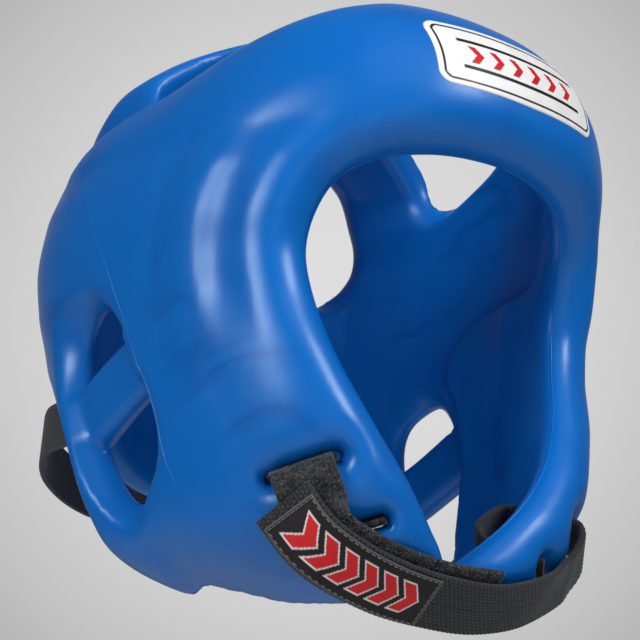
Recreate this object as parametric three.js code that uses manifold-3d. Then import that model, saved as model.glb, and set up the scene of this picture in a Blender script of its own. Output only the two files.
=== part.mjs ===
// Head guard for contact sport: one moulded foam shell, two chin strap layers, a rear strap and two labels.
// Millimetres. The front is -Y, the wearer's left is +X, up is +Z.
// The origin is the middle of the head, level with the brow.

import * as THREE from 'three';
import { ParametricGeometry } from 'three/addons/geometries/ParametricGeometry.js';
import { mergeVertices } from 'three/addons/utils/BufferGeometryUtils.js';
import Module from 'manifold-3d';

const wasm = await Module();
wasm.setup();

// Shell mesh: columns round the head, rows up the wall and rows over the crown.
const COLUMNS = 78;
const WALL_ROWS = 25;
const CROWN_ROWS = 11;
const WALL_FOOT = -166;

// Level sections of the foam, from the brow down to below the jaw.
// Half width, front and back are distances from the middle, for the outside and for the inside.
const SECTION_POWER = 2.35;
const CHEEK_POWER = 0.35;
const SECTIONS = [
  { z: 0, outWidth: 88.5, outFront: 122, outBack: 91, inWidth: 72, inFront: 101, inBack: 77 },
  { z: -16, outWidth: 92, outFront: 121, outBack: 95, inWidth: 74, inFront: 100, inBack: 80 },
  { z: -32, outWidth: 93.5, outFront: 120.5, outBack: 96, inWidth: 74, inFront: 98, inBack: 81 },
  { z: -50, outWidth: 92, outFront: 118, outBack: 92, inWidth: 74, inFront: 98, inBack: 78 },
  { z: -65, outWidth: 90, outFront: 117, outBack: 86, inWidth: 73, inFront: 98, inBack: 73 },
  { z: -82, outWidth: 89.5, outFront: 118, outBack: 79, inWidth: 72, inFront: 99, inBack: 67 },
  { z: -100, outWidth: 88, outFront: 119, outBack: 76, inWidth: 70, inFront: 101, inBack: 63 },
  { z: -120, outWidth: 85, outFront: 117, outBack: 73, inWidth: 66, inFront: 99, inBack: 59 },
  { z: -138, outWidth: 79, outFront: 112, outBack: 69, inWidth: 57, inFront: 92, inBack: 54 },
  { z: -150, outWidth: 70, outFront: 106, outBack: 63, inWidth: 43, inFront: 85, inBack: 45 },
  { z: -158, outWidth: 58, outFront: 99, outBack: 56, inWidth: 30, inFront: 79, inBack: 37 },
  { z: -168, outWidth: 44, outFront: 92, outBack: 47, inWidth: 20, inFront: 73, inBack: 29 },
];

// Crown dome above the brow: its height, how square it is at the front and at the sides,
// the crest above the forehead, the waist over the rear band, and the rise and step of the struts.
const CROWN_OUT = 66.8;
const CROWN_IN = 55.5;
const CROWN_POWER_FRONT = 2.9;
const CROWN_POWER_SIDE = 1.55;
const CROWN_CREST = 2;
const CROWN_WAIST = 0.5;
const CROWN_HUMP = 5.5;
const CROWN_STEP = 5;
const WRAP_RADIUS = 100;

// Half outline of the face opening: height and half angle from the front.
const FACE = [
  { z: -2.5, angle: 0 },
  { z: -3.5, angle: 8 },
  { z: -5.5, angle: 16 },
  { z: -10, angle: 25 },
  { z: -19, angle: 32.5 },
  { z: -36, angle: 36.5 },
  { z: -53, angle: 36 },
  { z: -80, angle: 30 },
  { z: -105, angle: 21.5 },
  { z: -122, angle: 14 },
  { z: -134, angle: 8 },
  { z: -141, angle: 3.9 },
  { z: -147, angle: 2.1 },
  { z: -170, angle: 1.9 },
  { z: -215, angle: 1.9 },
];

// Lower rim from the chin round to the nape.
const LOWER_RIM = [
  { angle: 0, z: -152 },
  { angle: 14, z: -154.5 },
  { angle: 28, z: -156.5 },
  { angle: 40, z: -156 },
  { angle: 52, z: -154.8 },
  { angle: 65, z: -153.5 },
  { angle: 78, z: -155.5 },
  { angle: 90, z: -149 },
  { angle: 95.5, z: -134 },
  { angle: 101.5, z: -115 },
  { angle: 107, z: -102 },
  { angle: 114, z: -91 },
  { angle: 121.5, z: -83 },
  { angle: 129, z: -78.5 },
  { angle: 137, z: -78 },
  { angle: 147, z: -86 },
  { angle: 156, z: -97 },
  { angle: 166, z: -104 },
  { angle: 180, z: -106 },
];

// Upper edge of the band below the crown openings, measured along the surface.
const CROWN_EDGE = [
  { angle: 0, z: 58 },
  { angle: 30, z: 54 },
  { angle: 50, z: 44 },
  { angle: 60, z: 38.5 },
  { angle: 70, z: 33 },
  { angle: 80, z: 27.5 },
  { angle: 90, z: 22 },
  { angle: 98, z: 17.5 },
  { angle: 105, z: 13 },
  { angle: 112, z: 5 },
  { angle: 120, z: -4 },
  { angle: 130, z: -10 },
  { angle: 145, z: -11.5 },
  { angle: 180, z: -11.5 },
];
const CROWN_STRIP_WIDTH = 50;
const CROWN_STRUT_WIDTH = 39;
const CROWN_STRUT_Y = 27.5;
const CROWN_FILLET = 26;

// Ear opening with a recessed bar across it.
const EAR = {
  angle: 86.2, z: -93, halfWidth: 19.5, halfLength: 39, lean: -34, power: 2.6, bevelRear: 8, bevelFront: 3,
  barWidth: 26, barOffset: 6, barLean: 9, barThickness: 11, wallRadius: 92,
};
// How much the outside draws in behind each ear.
const REAR_TAPER = 2.5;

// Padded rolls that follow the face opening: distance from the edge, half reach and height.
const ROLLS = [
  { from: 20, reach: 22, height: 2, templeOnly: false },
  { from: 17, reach: 16, height: 1.5, templeOnly: true },
  { from: 49, reach: 20, height: 3.5, templeOnly: true },
  { from: 34, reach: 13, height: -1.5, templeOnly: true },
];

// Slots in the cheeks for the chin strap.
const SLOT_WIDTH = 6;
const SLOT_FACING = { angle: 29, z: -122 };
const SLOTS = [
  { name: 'upper', angle: 34, z: -123, rise: 24, length: 27 },
  { name: 'lower', angle: 24, z: -141, rise: 22, length: 25 },
];

// Straps and labels.
const STRAP_WIDTH = 22;
const REAR_STRAP_WIDTH = 19;
const STRAP_THICKNESS = 2;
const LABEL_THICKNESS = 0.6;
const CLEARANCE = 0.5;
const BROW_LABEL = { halfWidth: 37, bottom: 16.5, top: 43.5, corner: 5 };

const rad = THREE.MathUtils.degToRad;
const clamp = THREE.MathUtils.clamp;

function smoothStep(from, to, x) {
  const t = clamp((x - from) / (to - from), 0, 1);
  return t * t * (3 - 2 * t);
}

function smoothMin(a, b, k) {
  const h = clamp(0.5 + (0.5 * (b - a)) / k, 0, 1);
  return b * (1 - h) + a * h - k * h * (1 - h);
}

function smoothMax(a, b, k) {
  return -smoothMin(-a, -b, k);
}

function bump(x, centre, reach) {
  const t = clamp(Math.abs(x - centre) / reach, 0, 1);
  return (1 - t * t) ** 2;
}

// Smooth value between the rows of a table, with no overshoot.
function lookUp(rows, key, column, x) {
  const last = rows.length - 1;
  const forward = rows[last][key] > rows[0][key] ? 1 : -1;
  const at = (i) => forward * rows[i][key];
  const slope = (i) => (rows[i + 1][column] - rows[i][column]) / (at(i + 1) - at(i));
  const tangent = (i) => {
    if (i === 0) return 0;
    if (i === last) return slope(last - 1);
    const before = slope(i - 1);
    const after = slope(i);
    return before * after > 0 ? (2 * before * after) / (before + after) : 0;
  };
  const t = clamp(forward * x, at(0), at(last));
  let i = 0;
  while (i < last - 1 && t > at(i + 1)) i += 1;
  const span = at(i + 1) - at(i);
  const s = (t - at(i)) / span;
  const ease = 3 * s ** 2 - 2 * s ** 3;
  const lift = (1 - ease) * rows[i][column] + ease * rows[i + 1][column];
  return lift + span * ((s ** 3 - 2 * s ** 2 + s) * tangent(i) + (s ** 3 - s ** 2) * tangent(i + 1));
}

// Distance from the middle to a plain skin, out or in, towards an angle and a level.
// A level below zero is a height. A level above zero is an angle of elevation on the crown.
function plainRadius(skin, angle, level) {
  const z = Math.min(level, 0);
  const width = lookUp(SECTIONS, 'z', skin + 'Width', z);
  const depth = lookUp(SECTIONS, 'z', skin + (Math.cos(angle) > 0 ? 'Front' : 'Back'), z);
  const cheek = smoothStep(-40, -85, z) * smoothStep(-0.1, 0.3, Math.cos(angle));
  const n = SECTION_POWER + CHEEK_POWER * cheek;
  const flat = (Math.abs(Math.sin(angle) / width) ** n + Math.abs(Math.cos(angle) / depth) ** n) ** (-1 / n);
  if (level <= 0) return flat;
  const height = skin === 'out' ? CROWN_OUT : CROWN_IN;
  const front = smoothStep(rad(88), rad(20), Math.abs(angle));
  const m = CROWN_POWER_SIDE + (CROWN_POWER_FRONT - CROWN_POWER_SIDE) * front;
  return ((Math.cos(level) / flat) ** m + (Math.sin(level) / height) ** m) ** (-1 / m);
}

function placeAt(radius, angle, level, target) {
  const up = Math.max(level, 0);
  const reach = radius * Math.cos(up);
  const z = level <= 0 ? level : radius * Math.sin(up);
  return target.set(reach * Math.sin(angle), -reach * Math.cos(angle), z);
}

const faceLine = new THREE.SplineCurve(
  FACE.map((row) => new THREE.Vector2(rad(row.angle) * WRAP_RADIUS, row.z)),
).getPoints(8 * (FACE.length - 1));
const lowerLine = new THREE.SplineCurve(
  LOWER_RIM.map((row) => new THREE.Vector2(rad(row.angle) * WRAP_RADIUS, row.z)),
).getPoints(8 * (LOWER_RIM.length - 1));

function distanceToLine(x, y, line) {
  let best = Infinity;
  for (let i = 0; i < line.length - 1; i += 1) {
    const dx = line[i + 1].x - line[i].x;
    const dy = line[i + 1].y - line[i].y;
    const length = dx * dx + dy * dy;
    const t = length > 0 ? clamp(((x - line[i].x) * dx + (y - line[i].y) * dy) / length, 0, 1) : 0;
    best = Math.min(best, Math.hypot(x - line[i].x - t * dx, y - line[i].y - t * dy));
  }
  return best;
}

function lineValue(value, line, from, to) {
  for (let i = 0; i < line.length - 1; i += 1) {
    const a = line[i][from];
    const b = line[i + 1][from];
    if ((value - a) * (value - b) <= 0 && a !== b) {
      return line[i][to] + ((line[i + 1][to] - line[i][to]) * (value - a)) / (b - a);
    }
  }
  return -1;
}

function faceDistance(across, height) {
  const d = distanceToLine(across, height, faceLine);
  const inside = height < faceLine[0].y && across < lineValue(height, faceLine, 'y', 'x');
  return inside ? -d : d;
}

function lowerDistance(across, height) {
  const d = distanceToLine(across, height, lowerLine);
  return height > lineValue(across, lowerLine, 'x', 'y') ? d : -d;
}

function crownDistance(edgeHeight, height, x, y) {
  const edge = (edgeHeight - height) * 0.95;
  const strip = CROWN_STRIP_WIDTH / 2 - Math.abs(x);
  const strut = CROWN_STRUT_WIDTH / 2 - Math.abs(y - CROWN_STRUT_Y);
  return smoothMax(smoothMax(edge, strip, CROWN_FILLET), strut, CROWN_FILLET);
}

function earDistances(angle, z) {
  const across = (Math.abs(angle) - rad(EAR.angle)) * EAR.wallRadius;
  const up = z - EAR.z;
  const lean = rad(EAR.lean);
  const u = across * Math.cos(lean) + up * Math.sin(lean);
  const v = up * Math.cos(lean) - across * Math.sin(lean);
  const n = EAR.power;
  const level = (Math.abs(u / EAR.halfWidth) ** n + Math.abs(v / EAR.halfLength) ** n) ** (1 / n);
  const hole = (level - 1) * EAR.halfWidth;
  const along = v * Math.cos(rad(EAR.barLean)) - u * Math.sin(rad(EAR.barLean));
  const bar = EAR.barWidth / 2 - Math.abs(along - EAR.barOffset);
  const bevel = EAR.bevelFront + (EAR.bevelRear - EAR.bevelFront) * smoothStep(-8, 10, u);
  return { recess: smoothStep(bevel, -3, hole), open: smoothMax(hole, bar, 3) };
}

// Outer and inner radius of the foam. They cross where there is an opening.
function foamRadii(angle, level) {
  const height = level <= 0 ? level : level * WRAP_RADIUS;
  const turn = Math.abs(THREE.MathUtils.radToDeg(angle));
  const edge = lookUp(CROWN_EDGE, 'angle', 'z', turn);
  const rear = CROWN_HUMP * smoothStep(20, 46, height) - CROWN_WAIST * bump(height, 12, 20);
  const bulge = rear * smoothStep(65, 105, turn) + CROWN_CREST * bump(turn, 0, 42) * bump(height, 46, 32);
  const above = height - edge;
  const step = smoothStep(-0.5, 3, above) * smoothStep(34, 12, above) * smoothStep(45, 60, turn);
  const inner = plainRadius('in', angle, level) + bulge;
  let outer = plainRadius('out', angle, level) + bulge - CROWN_STEP * step;
  outer -= REAR_TAPER * smoothStep(92, 118, turn) * smoothStep(150, 128, turn) * smoothStep(-50, -95, height);
  const across = Math.abs(angle) * WRAP_RADIUS;
  const face = faceDistance(across, height);
  const lower = lowerDistance(across, height);
  const temple = smoothStep(22, -18, height) * smoothStep(-95, -55, height);
  for (const roll of ROLLS) {
    outer += roll.height * bump(face, roll.from, roll.reach) * (roll.templeOnly ? temple : 1);
  }
  const middle = placeAt((outer + inner) / 2, angle, level, new THREE.Vector3());
  const crown = crownDistance(edge, height, middle.x, middle.y);
  const ear = earDistances(angle, middle.z);
  outer += (inner + EAR.barThickness - outer) * ear.recess;
  const thickness = outer - inner;
  const front = smoothStep(rad(95), rad(60), Math.abs(angle));
  const rims = [
    { distance: face, reach: 9, share: 0.36 },
    { distance: lower, reach: 6 + 6 * front, share: 0.45 - 0.25 * front },
    { distance: crown, reach: 6, share: 0.7 },
    { distance: ear.open, reach: 4.5, share: 0.5 },
  ];
  let fill = 1;
  let share = 0;
  let weight = 0;
  for (const rim of rims) {
    const part = clamp(rim.distance / rim.reach, -1, 1);
    const pull = (1 - part) ** 3 + 1e-6;
    fill = Math.min(fill, part);
    share += rim.share * pull;
    weight += pull;
  }
  const apex = inner + (thickness * share) / weight;
  return { outer: apex + (outer - apex) * fill, inner: apex - (apex - inner) * fill };
}

// Closed skin from a radius rule: a foot point, rows up the wall, rows over the crown.
function skinGeometry(radiusAt, foot) {
  const rows = WALL_ROWS + CROWN_ROWS + 1;
  const rule = (u, v, target) => {
    const row = Math.round(v * rows);
    const angle = (u === 1 ? 0 : u) * 2 * Math.PI - Math.PI;
    if (row === 0) return target.set(0, 0, foot);
    if (row === rows) return target.set(0, 0, radiusAt(0, Math.PI / 2));
    const wall = (row - 1) / (WALL_ROWS - 1);
    const rise = ((row - WALL_ROWS) / (CROWN_ROWS + 1)) ** 1.35;
    const level = row <= WALL_ROWS ? foot * (1 - wall) : (rise * Math.PI) / 2;
    return placeAt(radiusAt(angle, level), angle, level, target);
  };
  return new ParametricGeometry(rule, COLUMNS, rows);
}

function toSolid(geometry) {
  const bare = geometry.clone();
  bare.deleteAttribute('normal');
  bare.deleteAttribute('uv');
  const merged = mergeVertices(bare, 1e-4);
  const index = merged.index.array;
  const kept = [];
  for (let i = 0; i < index.length; i += 3) {
    const [a, b, c] = [index[i], index[i + 1], index[i + 2]];
    if (a !== b && b !== c && c !== a) kept.push(a, b, c);
  }
  return new wasm.Manifold(new wasm.Mesh({
    numProp: 3,
    vertProperties: new Float32Array(merged.attributes.position.array),
    triVerts: new Uint32Array(kept),
  }));
}

function toGeometry(solid) {
  const mesh = solid.getMesh();
  const geometry = new THREE.BufferGeometry();
  geometry.setAttribute('position', new THREE.BufferAttribute(new Float32Array(mesh.vertProperties), 3));
  geometry.setIndex(new THREE.BufferAttribute(new Uint32Array(mesh.triVerts), 1));
  geometry.computeVertexNormals();
  return geometry;
}

// Point, outward direction and directions along the surface at a place on the outside of the wall.
function wallFrame(angle, z, skin = 'out') {
  const at = (a, level) => placeAt(plainRadius(skin, a, level), a, level, new THREE.Vector3());
  const point = at(angle, z);
  const round = at(angle + 0.02, z).sub(at(angle - 0.02, z)).normalize();
  const up = at(angle, z + 2).sub(at(angle, z - 2)).normalize();
  const out = round.clone().cross(up).normalize();
  return { point, round, up: out.clone().cross(round).normalize(), out };
}

// Frame of a cheek slot. side is -1 for the wearer's right. long runs towards the front and up.
// Both slots of a cheek run in the same direction, square to the cheek between them.
function slotFrame(slot, side) {
  const frame = wallFrame(side * rad(SLOT_FACING.angle), SLOT_FACING.z);
  const forward = frame.round.clone().multiplyScalar(-side);
  const rise = rad(slot.rise);
  const long = forward.multiplyScalar(Math.cos(rise)).add(frame.up.clone().multiplyScalar(Math.sin(rise)));
  const { point } = wallFrame(side * rad(slot.angle), slot.z);
  return { point, out: frame.out, long: long.normalize() };
}

function slotCutter(slot, side) {
  const half = slot.length / 2 - SLOT_WIDTH / 2;
  const shape = new THREE.Shape();
  shape.absarc(half, 0, SLOT_WIDTH / 2, -Math.PI / 2, Math.PI / 2);
  shape.absarc(-half, 0, SLOT_WIDTH / 2, Math.PI / 2, Math.PI * 1.5);
  const cutter = new THREE.ExtrudeGeometry(shape, { depth: 60, bevelEnabled: false, curveSegments: 6 });
  const { point, out, long } = slotFrame(slot, side);
  const across = out.clone().cross(long).normalize();
  const place = new THREE.Matrix4().makeBasis(long, across, out);
  place.setPosition(point.clone().addScaledVector(out, -36));
  return cutter.applyMatrix4(place);
}

// Ribbon through a table of stations: a centre, a width direction and a lift off the centre line.
function ribbonGeometry(stations, { width, thickness, steps, lift = 0, from = 0, to = 1 }) {
  const centres = new THREE.CatmullRomCurve3(stations.map((s) => s.at), false, 'centripetal');
  const corners = [[-1, -1], [-1, 1], [1, 1], [1, -1]];
  const rows = steps + 2;
  const rule = (u, v, target) => {
    const row = Math.round(v * rows);
    const t = from + (to - from) * clamp((row - 1) / steps, 0, 1);
    const run = centres.getTangent(t);
    const place = Math.min(t, 1 - 1e-9) * (stations.length - 1);
    const k = Math.floor(place);
    const blend = smoothStep(0, 1, place - k);
    const across = stations[k].across.clone().lerp(stations[k + 1].across, blend);
    across.addScaledVector(run, -across.dot(run)).normalize();
    const face = across.clone().cross(run).normalize();
    const off = lift + THREE.MathUtils.lerp(stations[k].lift, stations[k + 1].lift, blend);
    const corner = row === 0 || row === rows ? [0, 0] : corners[Math.round(u * 4) % 4];
    target.copy(centres.getPoint(t)).addScaledVector(across, (corner[0] * width) / 2);
    return target.addScaledVector(face, off + (corner[1] * thickness) / 2);
  };
  return new ParametricGeometry(rule, 4, rows);
}

const vec = (x, y, z) => new THREE.Vector3(x, y, z);

// Chin strap route outside the shell, from the wearer's right cheek under the chin to the left cheek.
// The hook layer is lifted off it and the loop layer is lowered.
const CHIN_ROUTE = [
  { x: -69.2, y: -92.6, z: -135.5, acrossX: -0.2, acrossY: 0.5, acrossZ: -0.84, lift: 2.6 },
  { x: -58.4, y: -99, z: -148.2, acrossX: -0.15, acrossY: 0.6, acrossZ: -0.78, lift: 2.7 },
  { x: -35, y: -103, z: -156.5, acrossX: -0.08, acrossY: 0.68, acrossZ: -0.73, lift: 1.6 },
  { x: -11, y: -105, z: -158.5, acrossX: -0.03, acrossY: 0.72, acrossZ: -0.69, lift: 1.6 },
  { x: 12, y: -105, z: -157, acrossX: 0.03, acrossY: 0.72, acrossZ: -0.69, lift: 1.6 },
  { x: 35, y: -103, z: -150, acrossX: 0.08, acrossY: 0.68, acrossZ: -0.73, lift: 1.6 },
  { x: 54, y: -98, z: -139, acrossX: 0.3, acrossY: 0.62, acrossZ: -0.72, lift: 1.6 },
];

function chinStations(first, last, layer) {
  return CHIN_ROUTE.slice(first, last).map((row) => ({
    at: vec(row.x, row.y, row.z),
    across: vec(row.acrossX, row.acrossY, row.acrossZ).normalize(),
    lift: layer * row.lift,
  }));
}

// How deep the foam is under a slot, straight in from the outside.
function slotDepth({ point, out }) {
  let depth = 0;
  let clear = false;
  while (!clear && depth < 60) {
    depth += 0.5;
    const p = point.clone().addScaledVector(out, -depth);
    clear = Math.hypot(p.x, p.y) < plainRadius('in', Math.atan2(p.x, -p.y), p.z);
  }
  return depth;
}

// Stations over a cheek, in through its upper slot, along the inside and into its lower slot.
// Each row is a slot, a distance down the cheek from it and a distance out, from the inside if deep.
const SLOT_RUN = [
  { slot: 0, down: 11, out: 4.2, deep: false },
  { slot: 0, down: 4, out: 4.8, deep: false },
  { slot: 0, down: 0.1, out: 2, deep: false },
  { slot: 0, down: 0, out: -4, deep: false },
  { slot: 0, down: 0, out: 2, deep: true },
  { slot: 0, down: 3.5, out: -8, deep: true },
  { slot: 1, down: -3.5, out: -6.5, deep: true },
  { slot: 1, down: 0, out: 5, deep: true },
  { slot: 1, down: 0, out: -3, deep: false },
];

function slotStations(side) {
  const frames = SLOTS.map((slot) => slotFrame(slot, side));
  return SLOT_RUN.map((row) => {
    const { point, out, long } = frames[row.slot];
    const down = out.clone().cross(long).multiplyScalar(side);
    const depth = row.deep ? row.out - slotDepth(frames[row.slot]) : row.out;
    const at = point.clone().addScaledVector(out, depth).addScaledVector(down, row.down);
    return { at, across: long.clone().multiplyScalar(-1), lift: 0 };
  });
}

// Half of the rear strap route, from inside a rear lobe to the middle of the nape.
const REAR_ROUTE = [
  { x: 64.5, y: 20, z: -89.5 },
  { x: 63, y: 35, z: -90 },
  { x: 61, y: 55, z: -90.5 },
  { x: 55.5, y: 74, z: -91.5 },
  { x: 42, y: 92, z: -95 },
  { x: 21.5, y: 103, z: -99.5 },
  { x: 0, y: 106, z: -101.5 },
];

const group = new THREE.Group();

function addPiece(name, geometry, colour, roughness) {
  const material = new THREE.MeshStandardMaterial({ color: colour, roughness, metalness: 0 });
  const mesh = new THREE.Mesh(geometry, material);
  mesh.name = name;
  group.add(mesh);
}

// Foam shell: outer skin less inner skin, less the strap slots.
const outerSkin = toSolid(skinGeometry((angle, level) => foamRadii(angle, level).outer, WALL_FOOT));
const innerSkin = toSolid(skinGeometry((angle, level) => foamRadii(angle, level).inner, WALL_FOOT - 6));
let foam = outerSkin.subtract(innerSkin);
for (const side of [-1, 1]) {
  for (const slot of SLOTS) foam = foam.subtract(toSolid(slotCutter(slot, side)));
}
addPiece('shell', toGeometry(foam), '#0a5fb8', 0.35);

// Chin strap: the loop layer lies nearer the foam and the hook layer lies over it.
const strapColour = '#161617';
const strap = { width: STRAP_WIDTH, thickness: STRAP_THICKNESS };
const HOOK_STEPS = 64;
const loopRoute = [...slotStations(-1).reverse(), ...chinStations(1, 5, -1)];
const hookRoute = [...chinStations(0, 7, 1), ...slotStations(1)];
addPiece('chin_strap_loop', ribbonGeometry(loopRoute, { ...strap, steps: 56 }), strapColour, 0.95);
addPiece('chin_strap_hook', ribbonGeometry(hookRoute, { ...strap, steps: HOOK_STEPS }), strapColour, 0.9);

// Woven patch on the hook layer, from just inside its free end.
const patch = {
  width: STRAP_WIDTH - 2, thickness: LABEL_THICKNESS, steps: 11, from: 1 / HOOK_STEPS, to: 12 / HOOK_STEPS,
  lift: (STRAP_THICKNESS + LABEL_THICKNESS) / 2 + 1.8 * CLEARANCE,
};
addPiece('chin_label', ribbonGeometry(hookRoute, patch), '#1d1b1c', 0.85);

// Rear strap, standing on edge.
const rearHalf = (side) => REAR_ROUTE.map((row) => (
  { at: vec(side * row.x, row.y, row.z), across: vec(0, 0, -1), lift: 0 }
));
const rearRoute = [...rearHalf(-1), ...rearHalf(1).reverse().slice(1)];
const rearBand = { ...strap, width: REAR_STRAP_WIDTH, steps: 30 };
addPiece('rear_strap', ribbonGeometry(rearRoute, rearBand), strapColour, 0.9);

// Forehead patch: a thin slice just outside the shell, trimmed to a rounded panel.
function panelPrism(panel) {
  const { halfWidth: w, bottom, top, corner: r } = panel;
  const shape = new THREE.Shape();
  shape.absarc(w - r, bottom + r, r, -Math.PI / 2, 0);
  shape.absarc(w - r, top - r, r, 0, Math.PI / 2);
  shape.absarc(r - w, top - r, r, Math.PI / 2, Math.PI);
  shape.absarc(r - w, bottom + r, r, Math.PI, Math.PI * 1.5);
  const prism = new THREE.ExtrudeGeometry(shape, { depth: 100, bevelEnabled: false, curveSegments: 4 });
  return prism.rotateX(Math.PI / 2).translate(0, -50, 0);
}
const skinAt = (gap) => toSolid(skinGeometry((angle, level) => foamRadii(angle, level).outer + gap, WALL_FOOT));
const slice = skinAt(CLEARANCE + LABEL_THICKNESS).subtract(skinAt(CLEARANCE));
addPiece('brow_label', toGeometry(slice.intersect(toSolid(panelPrism(BROW_LABEL)))), '#f4f4f2', 0.4);

export default group;
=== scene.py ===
import math
import bpy
import numpy as np
from mathutils import Matrix, Vector


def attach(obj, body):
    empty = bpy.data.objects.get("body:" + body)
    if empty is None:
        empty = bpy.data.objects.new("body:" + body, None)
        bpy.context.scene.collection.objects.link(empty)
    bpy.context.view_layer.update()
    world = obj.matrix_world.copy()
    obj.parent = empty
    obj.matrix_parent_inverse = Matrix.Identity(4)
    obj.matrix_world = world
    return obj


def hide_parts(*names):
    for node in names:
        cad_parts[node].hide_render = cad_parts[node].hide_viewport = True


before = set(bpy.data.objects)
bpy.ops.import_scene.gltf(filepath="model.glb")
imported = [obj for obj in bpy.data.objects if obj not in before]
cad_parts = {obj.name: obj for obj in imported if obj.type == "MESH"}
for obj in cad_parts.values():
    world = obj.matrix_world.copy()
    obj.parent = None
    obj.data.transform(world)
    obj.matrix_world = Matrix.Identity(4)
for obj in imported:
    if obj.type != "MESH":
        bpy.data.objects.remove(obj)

scene = bpy.context.scene
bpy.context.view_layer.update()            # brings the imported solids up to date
rng = np.random.default_rng(11)
mm = 0.001                               # shapes are worked out in millimetres
farOff = 99.0                            # a distance too large to matter
noiseSpan = (0.3, 0.7)                   # where most values of a noise texture lie
print("frame loaded:", ", ".join(sorted(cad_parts)))


# Camera at the photograph's angle: low, in front of the right cheek.
photoCamera = {
    "place": (-0.56358, -0.72465, -0.30016),
    "right": (0.76361, -0.63954, 0.08888),
    "up": (-0.24106, -0.15468, 0.95810),
    "lens": 140.625,
}


def placeCamera(look):
    data = bpy.data.cameras.new("photoCamera")
    data.lens = look["lens"]
    data.sensor_width = 36
    data.clip_start, data.clip_end = 0.02, 40
    cam = bpy.data.objects.new("photoCamera", data)
    scene.collection.objects.link(cam)
    right, up = Vector(look["right"]).normalized(), Vector(look["up"]).normalized()
    turn = Matrix((right, up, right.cross(up))).transposed()
    cam.matrix_world = Matrix.Translation(look["place"]) @ turn.to_4x4()
    scene.camera = cam


placeCamera(photoCamera)


# Small helpers for curves and smooth joins.
def smoothStep(low, high, x):
    t = np.clip((x - low) / (high - low), 0, 1)
    return t * t * (3 - 2 * t)


def smoothMin(a, b, k):
    h = np.clip(0.5 + 0.5 * (b - a) / k, 0, 1)
    return b * (1 - h) + a * h - k * h * (1 - h)


def smoothMax(a, b, k):
    return -smoothMin(-a, -b, k)


def swell(x, centre, reach):
    t = np.clip(np.abs(x - centre) / reach, 0, 1)
    return (1 - t * t) ** 2


def unit(v):
    return v / np.maximum(np.linalg.norm(v, axis=-1, keepdims=True), 1e-12)


def tableValue(xs, ys, x):               # smooth table with no overshoot
    xs, ys = np.asarray(xs, float), np.asarray(ys, float)
    slope = np.diff(ys) / np.diff(xs)
    tangent = np.zeros_like(ys)
    turn = slope[1:] * slope[:-1]
    tangent[1:-1] = np.where(turn > 0, 2 * turn / (slope[1:] + slope[:-1] + 1e-12), 0)
    tangent[-1] = slope[-1]
    x = np.clip(x, xs[0], xs[-1])
    i = np.clip(np.searchsorted(xs, x, side="right") - 1, 0, len(xs) - 2)
    span = xs[i + 1] - xs[i]
    t = (x - xs[i]) / span
    lift = (2 * t**3 - 3 * t**2 + 1) * ys[i] + (3 * t**2 - 2 * t**3) * ys[i + 1]
    return lift + span * ((t**3 - 2 * t**2 + t) * tangent[i] + (t**3 - t**2) * tangent[i + 1])


def roundCurve(points, steps):           # plain Catmull-Rom line through the points
    pts = np.asarray(points, float)
    ahead = np.vstack([pts[:1], pts, pts[-1:]])
    t = np.linspace(0, 1, steps, endpoint=False)[:, None]
    out = []
    for a, b, c, d in zip(ahead[:-3], ahead[1:-2], ahead[2:-1], ahead[3:]):
        bend, twist = 2 * a - 5 * b + 4 * c - d, 3 * b - a - 3 * c + d
        out.append(0.5 * (2 * b + (c - a) * t + bend * t**2 + twist * t**3))
    return np.vstack(out + [pts[-1:]])


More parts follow.
